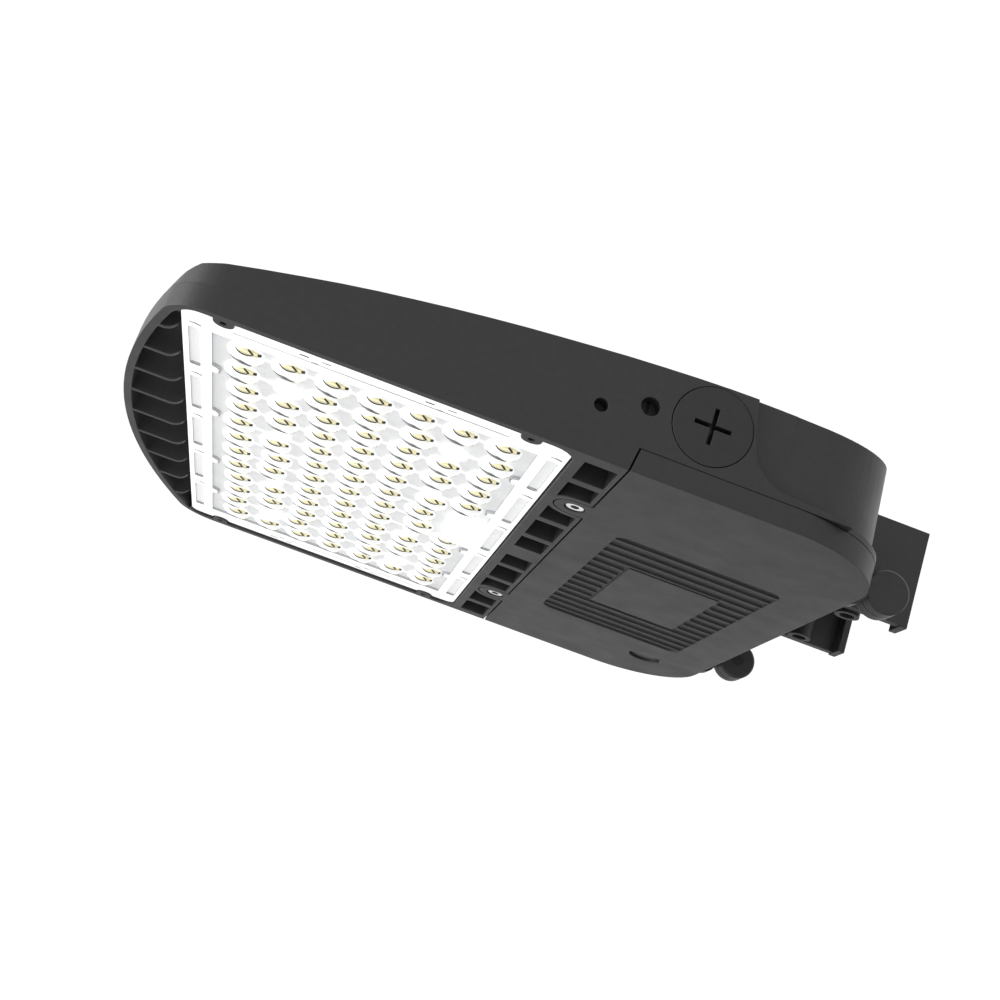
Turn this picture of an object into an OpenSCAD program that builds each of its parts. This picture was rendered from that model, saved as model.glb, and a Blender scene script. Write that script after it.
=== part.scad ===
// Area light: a flat LED head for a car park pole, with a hinged driver door and a short pole arm.
// X runs back from the nose to the pole, Y across the head, Z up. The origin is the middle of the
// bolt pattern on the arm's pole face. Inside the modules x = 0 is the middle of the LED grid and
// z = 0 is the lower plane of the rim and door.

/* [Head] */
// Width across the side walls
body_w = 302.8; // [298:0.2:308]
// How far the nose reaches ahead of the LED grid's middle
nose_x = 105.2; // [104:0.2:112]
// Height of the side wall at its highest point
side_top = 44.3; // [42:0.1:47]
// Height of the seam and crease above the lower plane
seam_z = 9.5; // [9:0.1:10]
// Thickness of the long cooling fins
fin_t = 2.6; // [2:0.1:3]

/* [LED panel] */
// Spacing of the lenses along X
led_px = 17; // [16.6:0.1:17.2]
// Spacing of the lenses along Y
led_py = 21.56; // [21:0.02:21.6]
// Height of a lens dome over its plate
dome_h = 2.8; // [2.2:0.1:3.6]

/* [Door] */
// Depth of the ribbed recess in the door
louvre_d = 0.9; // [0.5:0.1:1.4]
// Spacing of the ribs in the recess
louvre_p = 9.8; // [9.4:0.1:10]

/* [Arm] */
// Length of the arm from the head's back wall to the pole face
arm_len = 48.9; // [44:0.1:90]
// Width of the arm
arm_w = 80.8; // [74:0.2:84]

/* [Hidden] */

hw = body_w / 2;
body_back = 200.4;               // flat pad for the arm on the back wall
lip_back = 203.2;                // back of the lip and of the door
arm_x = body_back + 2 + arm_len; // pole face
arm_z0 = 17.2;
arm_z1 = 63.4;
bolt_dy = arm_w / 2 - 16.4;
mid_z = 50;                      // height of the two pole bolts

nose_r = 443;                    // plan radius of the nose
corner_r = 20;                   // plan radius of the front corners
back_r = 46;                     // plan radius of the back corners
back_n = 14;
dome_axis = 640;                 // depth of the axis that the top is turned about
step = 1.3;                      // ledge over the nose rim
drop = side_top - 44.3;

px0 = -76.8;                     // LED panel, front edge
px1 = 73.2;                      // LED panel, back edge
ph = 144.9;                      // LED panel, half width
pocket_h = 147.4;
deck_z0 = 5;
deck_z1 = 9.5;
plate_z0 = 0.9;
plate_z1 = 2.4;
vx0 = 77.6;                      // air openings between panel and door
vx1 = 90.6;
part_x1 = 94.6;                  // back of the wall between fins and driver bay
door_x0 = 93.1;
front_end = 92.3;                // gap of 0.8 to the door
slant = 1.5;                     // lean of that gap over the height of the rim
rib_p = 29.7;
screw_x = 87.1;
screw_y = 88.4;
hinge_x = 217.5;
hinge_z = 10.4;
hinge_r = 9.4;
lug_y0 = 84.5;                   // inner face of the housing's hinge tongue
lug_y1 = 91;
lug_y2 = 91.5;                   // inner face of the door's hinge cheek
lug_y3 = 97;
port_x = 117.4;
port_z = 27.4;
wire_x = 60;
wire_z = 18;

function arc(cx, cy, r, a0, a1, n) = [for (i = [0:n]) [cx + r * cos(a0 + (a1 - a0) * i / n), cy + r * sin(a0 + (a1 - a0) * i / n)]];
function flip(p) = [for (i = [len(p) - 1:-1:0]) [p[i][0], -p[i][1]]];
// One half of the plan, from the middle of the nose to the back, moved inwards by o
function half(o, nx, cr, xb) =
    let (ncx = -nx + nose_r, cy = hw - cr, cx = ncx - sqrt(pow(nose_r - cr, 2) - pow(cy, 2)),
         a = 180 - atan2(cy, ncx - cx))
    concat(arc(ncx, 0, nose_r - o, 180, a, 12), arc(cx, cy, cr - o, a - 7, 90, 9), [[xb, hw - o]]);
module front_plan(o, nx, cr, xb) polygon(concat(half(o, nx, cr, xb), flip(half(o, nx, cr, xb))));
function back_half(o, xb, x0) = concat([[x0, hw - o]], arc(xb - back_r, hw - back_r, back_r - o, 90, 0, back_n));
module back_plan(o, xb, x0) polygon(concat(back_half(o, xb, x0), flip(back_half(o, xb, x0))));

// Side wall height along X; the middle of the top is higher by the crown of the turned surface
side = [[-112, 5.6], [-95, 10.8], [-80, 15.4], [-67, 19.2], [-53.6, 22.3], [-40, 25.2], [-26.8, 27.9], [-13.4, 30.3], [0, 32.4], [13.4, 34.4], [26.8, 36.2], [40, 37.8], [53.6, 39.2], [67, 40.5], [80, 41.7], [93.8, 42.7], [107, 43.5], [120.6, 44.1], [129.8, 44.3]];
pad_side = [[93.8, 42.7], [107, 43.5], [120.6, 44.1], [129.8, 44.3], [160, 44.6], [192, 44.6]];
back_side = [[120, 43.7], [140, 43.8], [160, 43.7], [180, 43.5], [206, 43.1]];
bay_side = [[90, 38.3], [112, 39.8], [150, 40.2], [206, 39.3]];
function crown(z) = sqrt(pow(z + drop + dome_axis, 2) + pow(hw, 2));
module turned(p, o) rotate([0, -90, 0]) rotate([0, 0, -14.4])
    rotate_extrude(angle = 28.8, $fn = 200)
        polygon(concat([for (q = p) [crown(q[1]) - o, -q[0]]], [[590, -p[len(p) - 1][0]], [590, -p[0][0]]]));
module under_top(p, o) translate([0, 0, -dome_axis]) turned(p, o);
// Rounds the upper front edge along the nose
module nose_round() translate([-nose_x + step + nose_r, 0, 0]) rotate([0, 0, 138]) rotate_extrude(angle = 84, $fn = 180)
    polygon([[100, -1], [nose_r, -1], [nose_r, 13.2], [nose_r - 0.7, 14.8], [nose_r - 2, 16.4], [nose_r - 4, 18.3], [nose_r - 7, 20.4], [nose_r - 12, 23], [nose_r - 20, 26.6], [nose_r - 60, 50], [nose_r - 90, 80], [100, 80]]);

module place() translate([-arm_x, 0, -mid_z]) children();
module both() { children(); mirror([0, 1, 0]) children(); }

// Positions of the 76 LEDs: a 7 by 12 grid with four screw posts, two columns closed up to three and a connector
function led_dx(i, j) = (i == 0 && (j == 1 || (j >= 4 && j <= 7) || j == 10)) ? -1.2 : (i == 2 && (j == 1 || j == 10)) ? -2.8 : (i == 4 && (j == 1 || j == 10)) ? 2.8 : (i == 6 && (j == 1 || j == 10)) ? 1.4 : 0;
function led_skip(i, j) = ((i == 1 || i == 5) && (j == 1 || j == 10 || (j >= 4 && j <= 7))) || (i == 6 && (j == 5 || j == 6));
LEDS = concat(
    [for (i = [0:6]) for (j = [0:11]) if (!led_skip(i, j)) [(i - 3) * led_px + led_dx(i, j), (j - 5.5) * led_py]],
    [for (s = [-1, 1]) for (j = [4.5, 5.5, 6.5]) [s * 2 * led_px + (j == 5.5 ? 0 : s > 0 ? 2.4 : -1.6), (j - 5.5) * led_py]]);
POSTS = [for (i = [1, 5]) for (j = [1, 10]) [(i - 3) * led_px, (j - 5.5) * led_py]];
MARKS = [for (i = [1, 5]) for (j = [3.85, 7.15]) [(i - 3) * led_px, (j - 5.5) * led_py]];

// ---- housing ----
// The back wall leans forward by its draft, also round the back corners
module back_draft(o, a) for (s = [0, 1]) mirror([0, s, 0]) {
    translate([lip_back - o, -1, 12]) rotate([0, -a, 0]) translate([0, 0, -4]) cube([20, hw - back_r + 2, 64]);
    for (i = [0:back_n - 1]) translate([lip_back - back_r, hw - back_r, 12]) rotate([0, 0, (i + 0.5) * 90 / back_n])
        translate([(back_r - o) * cos(45 / back_n), -12, 0]) rotate([0, -a * (1 - 0.6 * i / back_n), 0]) translate([0, 0, -4]) cube([20, 24, 64]);
    translate([100, hw - o, 5]) cube([100, 20, 70]);
}
module rear_shell() {
    difference() {
        intersection() {
            translate([0, 0, seam_z]) linear_extrude(70) back_plan(1, lip_back, 112);
            under_top(back_side, 0);
        }
        back_draft(2.6, 3.4);
    }
    translate([0, 0, seam_z]) linear_extrude(2.5) back_plan(0, lip_back, 91.6);
    // flat pad behind the arm
    translate([190, -40.4, 20]) cube([body_back - 190, 80.8, 34 - 1.6]);
}
module front_shell() {
    linear_extrude(seam_z + 0.01) front_plan(0, nose_x, corner_r, front_end + slant);
    intersection() {
        translate([0, 0, seam_z]) linear_extrude(70) front_plan(0, nose_x - step, corner_r, 129.8);
        under_top(side, 0);
        nose_round();
    }
}
// Flat side pad with a curved lower back corner, round the side port
module side_pad() intersection() {
    translate([0, hw, 0]) rotate([90, 0, 0]) linear_extrude(5)
        polygon(concat([[100, seam_z], [178, seam_z], [172, 11.6], [162, 12]], arc(152, 30, 17.5, 270, 205, 12), [[133.6, 31], [130.2, 52], [100, 52]]));
    under_top(pad_side, 0);
}
// Slots between the fins, open to the sky
module fin_gaps() {
    intersection() {
        union() {
            for (s = [-1, 1]) for (k = [0:4]) {
                y0 = k * rib_p + fin_t / 2;
                y1 = k == 4 ? pocket_h : (k + 1) * rib_p - fin_t / 2;
                // over the deck an extra fin stands in each gap
                for (g = k == 4 ? [[y0, 134], [136.2, y1]] : [[y0, k * rib_p + 13.9], [k * rib_p + 16.1, y1]])
                    translate([-74, s > 0 ? g[0] : -g[1], deck_z1]) cube([148, g[1] - g[0], 80]);
                // over the front and back air openings
                translate([-120, s > 0 ? y0 : -y1, -1]) cube([120 + px0 - 1.3, y1 - y0, 90]);
                translate([-120, s > 0 ? y0 : -y1, deck_z1]) cube([130 + px0, y1 - y0, 90]);
                yb = k == 0 ? 9 : y0 + 1.4;
                yt = k == 4 ? 143.4 : y1 - 1.4;
                translate([vx0, s > 0 ? yb : -yt, -1]) cube([vx1 - vx0, yt - yb, deck_z1 + 1.1]);
                translate([70, s > 0 ? y0 : -y1, deck_z1]) cube([vx1 - 70, y1 - y0, 90]);
            }
            // the fins stop short of the deck at the front
            translate([px0 - 1.3, -pocket_h, -1]) cube([0.9, 2 * pocket_h, deck_z1 + 1]);
        }
        translate([0, 0, -2]) linear_extrude(120) front_plan(3.4, nose_x, corner_r, 95);
    }
}
module screw_tower() {
    translate([screw_x, screw_y, 0]) cylinder(h = 24, r = 12, $fn = 48);
    translate([screw_x, screw_y - 12, 0]) cube([91.6 - screw_x, 24, 24]);
}
module screw_notch() {
    translate([screw_x, screw_y, -1]) cylinder(h = 4.7, r = 9.1, $fn = 48);
    translate([screw_x, screw_y - 9.1, -1]) cube([10, 18.2, 4.7]);
    translate([screw_x, screw_y, 3]) cylinder(h = 2.2, r = 5, $fn = 40);
    translate([screw_x, screw_y, 3]) cylinder(h = 15, r = 2.35, $fn = 32);
}
module bay() {
    translate([0, 0, seam_z - 1]) linear_extrude(4) intersection() {
        back_plan(7.5, lip_back, 99);
        translate([99, -200]) square([200, 400]);
    }
    intersection() {
        translate([0, 0, 12]) linear_extrude(70) intersection() {
            back_plan(5.9, lip_back, part_x1);
            translate([part_x1, -200]) square([200, 400]);
        }
        under_top(bay_side, 0);
    }
}
// Posts that hang from the roof of the driver bay
POSTS_IN = [[142, -84, 20, 5], [142, 84, 20, 5], [120, 122, 24, 4.5], [158, 122, 24, 4.5], [116.8, -112, 20, 4.5], [159.2, -112, 20, 4.5], [178, -84, 18, 5]];
module roof_post(x, y, z, r) intersection() {
    translate([x, y, z]) cylinder(h = 60, r = r, $fn = 32);
    under_top(back_side, 1);
}
// Round hinge eye between two Y planes, each with its own edge chamfer
module eye(y0, y1, c0, c1) translate([hinge_x, y0, hinge_z]) rotate([-90, 0, 0]) {
    if (c0 > 0) cylinder(h = c0, r1 = hinge_r - c0, r2 = hinge_r, $fn = 64);
    translate([0, 0, c0]) cylinder(h = y1 - y0 - c0 - c1, r = hinge_r, $fn = 64);
    if (c1 > 0) translate([0, 0, y1 - y0 - c1]) cylinder(h = c1, r1 = hinge_r, r2 = hinge_r - c1, $fn = 64);
}
module hinge_tongue() difference() {
    union() {
        eye(lug_y0, lug_y1, 0.8, 0);
        translate([0, lug_y1, 0]) rotate([90, 0, 0]) linear_extrude(lug_y1 - lug_y0)
            polygon([[196, 9.7], [205.5, 9.7], [209.2, 8], [hinge_x, hinge_z], [216, 19.2], [198.6, 36.6], [196, 36.6]]);
    }
    translate([hinge_x, lug_y0 - 1, hinge_z]) rotate([-90, 0, 0]) cylinder(h = 10, r = 3, $fn = 40);
}
module ear() {
    translate([0, 145.2, 0]) cylinder(h = 2.2, r = 4, $fn = 40);
    translate([-4, 145.2, 0]) cube([8, 3, 2.2]);
}
module housing() color([0.2, 0.2, 0.21]) place() {
    difference() {
        union() {
            difference() {
                union() {
                    front_shell();
                    rear_shell();
                    both() side_pad();
                }
                fin_gaps();
                bay();
                // LED pocket
                translate([0, 0, -1]) linear_extrude(deck_z0 + 1) rounded(px0 - 0.6, px1 + 0.5, pocket_h, 9, 0);
            }
            both() screw_tower();
            // tunnel for the LED leads
            translate([wire_x - 7, -8, deck_z0]) cube([part_x1 - wire_x + 7, 16, 19]);
            both() for (x = [-60.3, 56.3]) translate([x, 0, 0]) ear();
            // thick wall behind the two accessory holes and the side port
            both() translate([70.7, 141, deck_z0]) cube([10, 8, 21]);
            both() translate([86, 141, 12]) cube([15, 8, 22]);
            both() intersection() {
                translate([port_x, 143.4, port_z]) rotate([-90, 0, 0]) cylinder(h = 6, r = 18, $fn = 48);
                under_top(back_side, 1);
            }
            for (p = POSTS_IN) roof_post(p[0], p[1], p[2], p[3]);
            both() hinge_tongue();
            // pads behind the arm
            for (y = [-26, 26]) for (z = [30, 48]) translate([191, y, z]) rotate([0, 90, 0]) cylinder(h = 5, r = 8, $fn = 32);
        }
        both() screw_notch();
        // slanted end of the rim in front of the door
        rotate([90, 0, 0]) translate([0, 0, -200]) linear_extrude(400)
            polygon([[front_end - 0.16, -1], [front_end + slant, seam_z], [110, seam_z], [110, -1]]);
        // front fins: lower edge, and the rounded corner in front of the panel
        intersection() {
            difference() {
                translate([-120, -146, -1]) cube([120 + px0 - 1.3, 292, 7]);
                translate([-120, -147, 0.25]) cube([120 + px0 - 7.3, 294, 7]);
                translate([px0 - 7.3, -147, 6.25]) rotate([-90, 0, 0]) cylinder(h = 294, r = 6, $fn = 60);
            }
            translate([0, 0, -2]) linear_extrude(12) front_plan(3.4, nose_x, corner_r, 95);
        }
        // draft of the upper side walls
        both() translate([-130, hw, seam_z]) rotate([1.3, 0, 0]) cube([420, 10, 60]);
        // lead tunnel
        translate([wire_x, 0, deck_z0 - 1]) cylinder(h = wire_z - deck_z0 + 1, r = 3.5, $fn = 32);
        translate([wire_x - 3, 0, wire_z]) rotate([0, 90, 0]) cylinder(h = part_x1 - wire_x + 4, r = 3.5, $fn = 32);
        translate([part_x1 - 2, 0, wire_z]) rotate([0, 90, 0]) cylinder(h = 4, r = 5, $fn = 32);
        // holes in the ears
        both() for (x = [-60.3, 56.3]) translate([x, 145.2, -1]) cylinder(h = 4, r = 1.5, $fn = 32);
        // threads for the lens screws
        for (p = POSTS) translate([p[0], p[1], deck_z0 - 1]) cylinder(h = 5, r = 1.5, $fn = 24);
        for (p = MARKS) translate([p[0], p[1], deck_z0 - 1]) cylinder(h = 5, r = 1.25, $fn = 24);
        // accessory holes
        both() translate([75.7, 145, 19.9]) rotate([-90, 0, 0]) cylinder(h = 10, r = 2.7, $fn = 32);
        both() translate([93.2, 144.6, 26.2]) rotate([-90, 0, 0]) cylinder(h = 10, r = 3.7, $fn = 32);
        both() translate([92.6, 143.2, 22.5]) cube([1.2, 3, 7.4]);
        // side ports
        both() {
            translate([port_x, 140, port_z]) rotate([-90, 0, 0]) cylinder(h = 20, r = 12.5, $fn = 48);
            translate([port_x, 148.6, port_z]) rotate([-90, 0, 0]) cylinder(h = 20, r = 15.75, $fn = 64);
        }
        // threads in the roof posts
        for (p = POSTS_IN) translate([p[0], p[1], p[2] - 1]) cylinder(h = 11, r = 1.8, $fn = 24);
        // arm bolts and cable way
        for (y = [-26, 26]) for (z = [30, 48]) translate([185, y, z]) rotate([0, 90, 0]) cylinder(h = 20, r = 3.3, $fn = 32);
        translate([185, 0, 39]) rotate([0, 90, 0]) cylinder(h = 20, r = 9, $fn = 32);
    }
}

// ---- LED module ----
module rounded(x0, x1, h, r, z) translate([0, 0, z]) polygon(concat(arc(x1 - r, h - r, r, 0, 90, 5), arc(x0 + r, h - r, r, 90, 180, 5), arc(x0 + r, -h + r, r, 180, 270, 5), arc(x1 - r, -h + r, r, 270, 360, 5)));
dome_w = 7.6;
dome_r = (dome_h * dome_h + dome_w * dome_w) / (2 * dome_h);
module dome(p) for (s = [-2.2, 2.2]) translate([p[0], p[1] + s, plate_z0 - dome_h + dome_r]) sphere(r = dome_r, $fn = 24);
module lens_panel() color([0.93, 0.94, 0.95, 0.6]) place() difference() {
    union() {
        translate([0, 0, plate_z0]) linear_extrude(plate_z1 - plate_z0) rounded(px0, px1, ph, 4.6, 0);
        intersection() {
            for (p = LEDS) dome(p);
            translate([px0, -ph, plate_z0 - 10]) cube([px1 - px0, 2 * ph, 10.4]);
        }
        for (p = POSTS) translate([p[0], p[1], plate_z0 - 1.2]) cylinder(h = 2, r = 5.4, $fn = 32);
    }
    for (p = POSTS) translate([p[0], p[1], plate_z0 - 5]) cylinder(h = 10, r = 1.8, $fn = 24);
    for (p = MARKS) translate([p[0], p[1], plate_z0 - 5]) cylinder(h = 10, r = 1.5, $fn = 24);
    both() for (x = [-60.3, 56.3]) translate([x, 145.2, -5]) cylinder(h = 10, r = 4.5, $fn = 40);
    // window for the connector
    translate([47, -19.5, plate_z0 - 1]) cube([17, 39, 4]);
}
module lens_gasket() color([0.85, 0.86, 0.86]) place() difference() {
    translate([0, 0, plate_z1]) linear_extrude(deck_z0 - plate_z1) difference() {
        rounded(px0 + 0.6, px1 - 0.6, ph - 0.6, 4, 0);
        rounded(px0 + 5, px1 - 5, ph - 5, 2, 0);
    }
    both() for (x = [-60.3, 56.3]) translate([x, 145.2, 0]) cylinder(h = 10, r = 4.6, $fn = 40);
}
module led_board() color([0.95, 0.95, 0.93]) place() difference() {
    translate([px0 + 6, -ph + 6, deck_z0 - 1.6]) cube([px1 - px0 - 12, 2 * ph - 12, 1.6]);
    for (p = POSTS) translate([p[0], p[1], 0]) cylinder(h = 10, r = 1.8, $fn = 24);
    for (p = MARKS) translate([p[0], p[1], 0]) cylinder(h = 10, r = 1.5, $fn = 24);
    translate([wire_x, 0, 0]) cylinder(h = 10, r = 3.5, $fn = 32);
}
module led_chips() color([0.95, 0.88, 0.5]) place()
    for (p = LEDS) translate([p[0] - 1.6, p[1] - 1.6, deck_z0 - 2.3]) cube([3.2, 3.2, 0.7]);
module lens_screws() color([0.8, 0.8, 0.8]) place() {
    for (p = POSTS) translate([p[0], p[1], 0]) {
        translate([0, 0, plate_z0 - 3]) difference() {
            cylinder(h = 1.8, r = 2.8, $fn = 32);
            translate([-0.35, -2, -0.1]) cube([0.7, 4, 1]);
            translate([-2, -0.35, -0.1]) cube([4, 0.7, 1]);
        }
        translate([0, 0, plate_z0 - 1.3]) cylinder(h = 9.2, r = 1.45, $fn = 24);
    }
    for (p = MARKS) translate([p[0], p[1], 0]) {
        translate([0, 0, plate_z0 - 1.4]) cylinder(h = 1.4, r = 2.2, $fn = 28);
        translate([0, 0, plate_z0 - 0.1]) cylinder(h = 8, r = 1.2, $fn = 24);
    }
}
module wire_cover() color([0.97, 0.97, 0.97]) place() difference() {
    translate([47.2, -19.3, plate_z0 - 2.4]) cube([16.6, 38.6, 4.8]);
    translate([48.4, -18.1, plate_z0 - 1.2]) cube([14.2, 36.2, 4]);
}
module led_connector() color([0.96, 0.96, 0.94]) place() difference() {
    translate([50, -5, plate_z0 - 0.8]) cube([7, 10, 3.3]);
    for (y = [-2.2, 2.2]) translate([55, y, 2.4]) rotate([0, 90, 0]) cylinder(h = 4, r = 0.75, $fn = 20);
}
module lead(s) {
    translate([55.4, s * 2.2, 2.4]) rotate([0, 90, 0]) cylinder(h = wire_x - 55.4 + 0.6, r = 0.7, $fn = 20);
    translate([wire_x, s * 2.2, 1.8]) cylinder(h = wire_z - 1.8 + 0.5, r = 0.95, $fn = 20);
    translate([wire_x - 0.5, s * 2.2, wire_z]) rotate([0, 90, 0]) cylinder(h = 112 - wire_x + 0.5, r = 0.9, $fn = 20);
}
module led_lead_plus() color([0.75, 0.12, 0.1]) place() lead(1);
module led_lead_minus() color([0.1, 0.1, 0.1]) place() lead(-1);
module lead_grommet() color([0.12, 0.12, 0.12]) place() translate([part_x1 - 1.9, 0, wire_z]) rotate([0, 90, 0]) difference() {
    union() {
        cylinder(h = 2, r = 4.95, $fn = 40);
        translate([0, 0, 1.92]) cylinder(h = 1.6, r = 5.8, $fn = 40);
    }
    for (s = [-1, 1]) translate([0, s * 2.2, -1]) cylinder(h = 8, r = 1, $fn = 20);
}
// ---- driver bay ----
module driver() color([0.78, 0.79, 0.8]) place() difference() {
    translate([112, -72, 14]) cube([60, 144, 31]);
    for (x = [118:8:166]) translate([x - 1.5, -80, 13]) cube([3, 160, 2.4]);
    for (s = [-1, 1]) translate([111, s * 2.2, wire_z]) rotate([0, 90, 0]) cylinder(h = 5, r = 1, $fn = 20);
}
module driver_end_caps() color([0.15, 0.15, 0.16]) place() for (s = [-1, 1]) difference() {
    union() {
        translate([111.2, s > 0 ? 72 : -75, 13.2]) cube([61.6, 3, 32.6]);
        translate([136, s > 0 ? 74 : -90, 17.2]) cube([12, 16, 2.8]);
    }
    translate([142, s * 84, 10]) cylinder(h = 20, r = 2.3, $fn = 28);
    if (s < 0) for (x = [123, 129, 135]) translate([x, -80, 26]) rotate([-90, 0, 0]) cylinder(h = 10, r = 1.25, $fn = 20);
}
module pan_screw(h, r, l) difference() {
    union() {
        translate([0, 0, -h]) cylinder(h = h, r = 2 * r, $fn = 32);
        cylinder(h = l, r = r, $fn = 24);
    }
    translate([-0.4 * r, -1.3 * r, -h - 0.1]) cube([0.8 * r, 2.6 * r, 0.9]);
    translate([-1.3 * r, -0.4 * r, -h - 0.1]) cube([2.6 * r, 0.8 * r, 0.9]);
}
module driver_screws() color([0.75, 0.75, 0.75]) place() for (s = [-1, 1]) translate([142, s * 84, 17.2]) pan_screw(2.2, 1.75, 11);
module driver_input_leads() color([0.15, 0.3, 0.2]) place() for (x = [123, 129, 135])
    translate([x, -98.5, 26]) rotate([-90, 0, 0]) cylinder(h = 26.5, r = 1.2, $fn = 20);
module surge_protector() color([0.18, 0.2, 0.24]) place() difference() {
    union() {
        translate([126, 98, 16]) cube([26, 42, 22]);
        translate([114, 116, 21]) cube([50, 12, 3]);
    }
    for (x = [120, 158]) translate([x, 122, 18]) cylinder(h = 10, r = 2.2, $fn = 28);
    translate([131, 103, 15]) cube([16, 32, 1.8]);
}
module surge_screws() color([0.75, 0.75, 0.75]) place() for (x = [120, 158]) translate([x, 122, 21]) pan_screw(2, 1.75, 12);
module terminal_block() color([0.9, 0.9, 0.86]) place() difference() {
    union() {
        translate([122, -122, 20.2]) cube([32, 22, 14]);
        translate([112.3, -117, 17.4]) cube([51.4, 10, 2.6]);
        translate([122, -122, 17.4]) cube([32, 22, 3]);
    }
    for (x = [116.8, 159.2]) translate([x, -112, 14]) cylinder(h = 10, r = 2.2, $fn = 28);
    for (x = [123.6, 129, 135, 146]) translate([x, -99, 26]) rotate([90, 0, 0]) cylinder(h = 9, r = 1.35, $fn = 20);
    for (x = [124.6, 130, 136, 146]) translate([x, -106, 16]) cylinder(h = 8, r = 1.4, $fn = 20);
}
module terminal_screws() color([0.75, 0.75, 0.75]) place() {
    for (x = [116.8, 159.2]) translate([x, -112, 17.4]) pan_screw(2, 1.75, 11);
    for (x = [124.6, 130, 136, 146]) translate([x, -106, 18.4]) cylinder(h = 4, r = 1.3, $fn = 20);
}
module ground_screw() color([0.2, 0.55, 0.25]) place() translate([178, -84, 16.2]) {
    pan_screw(2.4, 1.75, 11);
    difference() {
        cylinder(h = 1.7, r = 4.6, $fn = 32);
        cylinder(h = 5, r = 1.74, center = true, $fn = 24);
    }
}

// ---- side plugs, with a cross slot ----
module plug() translate([port_x, 0, port_z]) rotate([-90, 0, 0]) difference() {
    union() {
        translate([0, 0, 149.2]) cylinder(h = 2.0, r = 15.35, $fn = 72);
        translate([0, 0, 142]) cylinder(h = 7.4, r = 12.4, $fn = 48);
    }
    translate([0, 0, 141]) cylinder(h = 3.5, r = 10, $fn = 40);
    translate([-7.3, -0.9, 146.2]) cube([14.6, 1.8, 6]);
    translate([-0.9, -7.3, 146.2]) cube([1.8, 14.6, 6]);
}
module plug_seal() translate([port_x, 148.6, port_z]) rotate([-90, 0, 0]) difference() {
    cylinder(h = 0.6, r = 15, $fn = 64);
    translate([0, 0, -1]) cylinder(h = 3, r = 12.7, $fn = 64);
}
module near_plug() color([0.21, 0.21, 0.22]) place() mirror([0, 1, 0]) plug();
module far_plug() color([0.21, 0.21, 0.22]) place() plug();
module near_plug_seal() color([0.08, 0.08, 0.08]) place() mirror([0, 1, 0]) plug_seal();
module far_plug_seal() color([0.08, 0.08, 0.08]) place() plug_seal();

// ---- pole arm: a channel open below ----
module arm() color([0.2, 0.2, 0.21]) place() {
    aw = arm_w / 2;
    x0 = body_back + 2;
    difference() {
        union() {
            difference() {
                translate([x0, -aw, arm_z0 + 0.7]) cube([arm_len, arm_w, arm_z1 - arm_z0 - 0.7]);
                translate([x0 + 5, -aw + 4.5, arm_z0 - 5]) cube([arm_len - 8.2, arm_w - 9, arm_z1 - arm_z0]);
            }
            // lips of the pole face
            both() translate([arm_x - 3.2, aw - 12, arm_z0]) cube([3.2, 12, 10]);
            // vertical bosses
            both() difference() {
                union() {
                    translate([227.5, 28.7, 17]) cylinder(h = 43, r = 5.6, $fn = 40);
                    translate([223.5, 28.7, 19]) cube([8, aw - 30, 40]);
                }
                translate([227.5, 28.7, 10]) cylinder(h = 30, r = 3.4, $fn = 32);
            }
        }
        // open middle of the pole face
        translate([arm_x - 10, -aw + 12, arm_z0 - 5]) cube([20, arm_w - 24, 30]);
        // cable way
        translate([x0 - 5, 0, 39]) rotate([0, 90, 0]) cylinder(h = 20, r = 9, $fn = 40);
        // bolts into the head
        for (y = [-26, 26]) for (z = [30, 48]) translate([x0 - 5, y, z]) rotate([0, 90, 0]) cylinder(h = 20, r = 3.3, $fn = 32);
        // pole bolts
        for (y = [-bolt_dy, bolt_dy]) translate([arm_x - 10, y, mid_z]) rotate([0, 90, 0]) cylinder(h = 20, r = 3.3, $fn = 32);
    }
}
module arm_gasket() color([0.08, 0.08, 0.08]) place() difference() {
    translate([body_back, -arm_w / 2 + 1, 22]) cube([2, arm_w - 2, 30]);
    translate([body_back - 5, 0, 39]) rotate([0, 90, 0]) cylinder(h = 20, r = 9, $fn = 40);
    for (y = [-26, 26]) for (z = [30, 48]) translate([body_back - 5, y, z]) rotate([0, 90, 0]) cylinder(h = 20, r = 3.3, $fn = 32);
}
module arm_bolts() color([0.75, 0.75, 0.75]) place() for (y = [-26, 26]) for (z = [30, 48]) translate([0, y, z]) rotate([0, 90, 0]) {
    translate([0, 0, 185.2]) difference() {
        cylinder(h = 4.2, r = 5.8, $fn = 6);
        translate([0, 0, -1]) cylinder(h = 1.6, r = 3, $fn = 24);
    }
    translate([0, 0, 189]) cylinder(h = 24, r = 3.05, $fn = 32);
    translate([0, 0, 207.45]) cylinder(h = 5, r = 5.8, $fn = 6);
}
module arm_washers() color([0.7, 0.7, 0.7]) place() for (y = [-26, 26]) for (z = [30, 48]) translate([0, y, z]) rotate([0, 90, 0]) translate([0, 0, 189.4]) difference() {
    cylinder(h = 1.6, r = 6.6, $fn = 32);
    translate([0, 0, -1]) cylinder(h = 4, r = 3.3, $fn = 32);
}

// ---- hinge pins ----
module pin() translate([hinge_x, lug_y0 + 0.1, hinge_z]) rotate([-90, 0, 0]) cylinder(h = 10.8, r = 3, $fn = 40);
module near_hinge_pin() color([0.7, 0.7, 0.7]) place() mirror([0, 1, 0]) pin();
module far_hinge_pin() color([0.7, 0.7, 0.7]) place() pin();

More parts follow.
